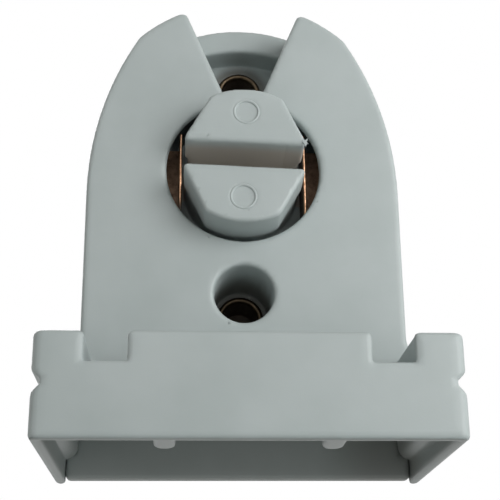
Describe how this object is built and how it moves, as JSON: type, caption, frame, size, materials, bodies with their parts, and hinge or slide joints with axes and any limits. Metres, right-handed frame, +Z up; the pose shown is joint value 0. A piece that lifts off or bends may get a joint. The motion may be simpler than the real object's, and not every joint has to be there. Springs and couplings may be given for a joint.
{
  "type": "rotary lamp holder",
  "caption": "White moulded holder for one end of a two-pin tubular lamp: arched body with a V entry slot, turning rotor and a hollow base that fits in a luminaire channel.",
  "frame": {"origin": "middle of the footprint, on the plane of the base's open rim", "axes": "+X to the right seen from the front, +Y from the front to the back, +Z up towards the entry slot"},
  "size_m": [0.046, 0.03, 0.0599],
  "materials": {
    "moulded_plastic": "satin white moulded plastic",
    "rotor_plastic": "satin white moulded plastic with ejector marks",
    "contact_bronze": "bare stamped bronze",
    "rivet_brass": "dull drawn brass"
  },
  "bodies": {
    "holder": {"housing": "moulded_plastic", "back_cover": "moulded_plastic", "contact_left": "contact_bronze", "contact_right": "contact_bronze", "upper_rivet": "rivet_brass", "lower_rivet": "rivet_brass"},
    "rotor": {"rotor": "rotor_plastic"}
  },
  "joints": [
    {"name": "rotor_turn", "type": "hinge", "parent": "holder", "child": "rotor", "pos_m": [0, 0, 0.0361], "axis": [0, 1, 0], "continuous": true}
  ]
}
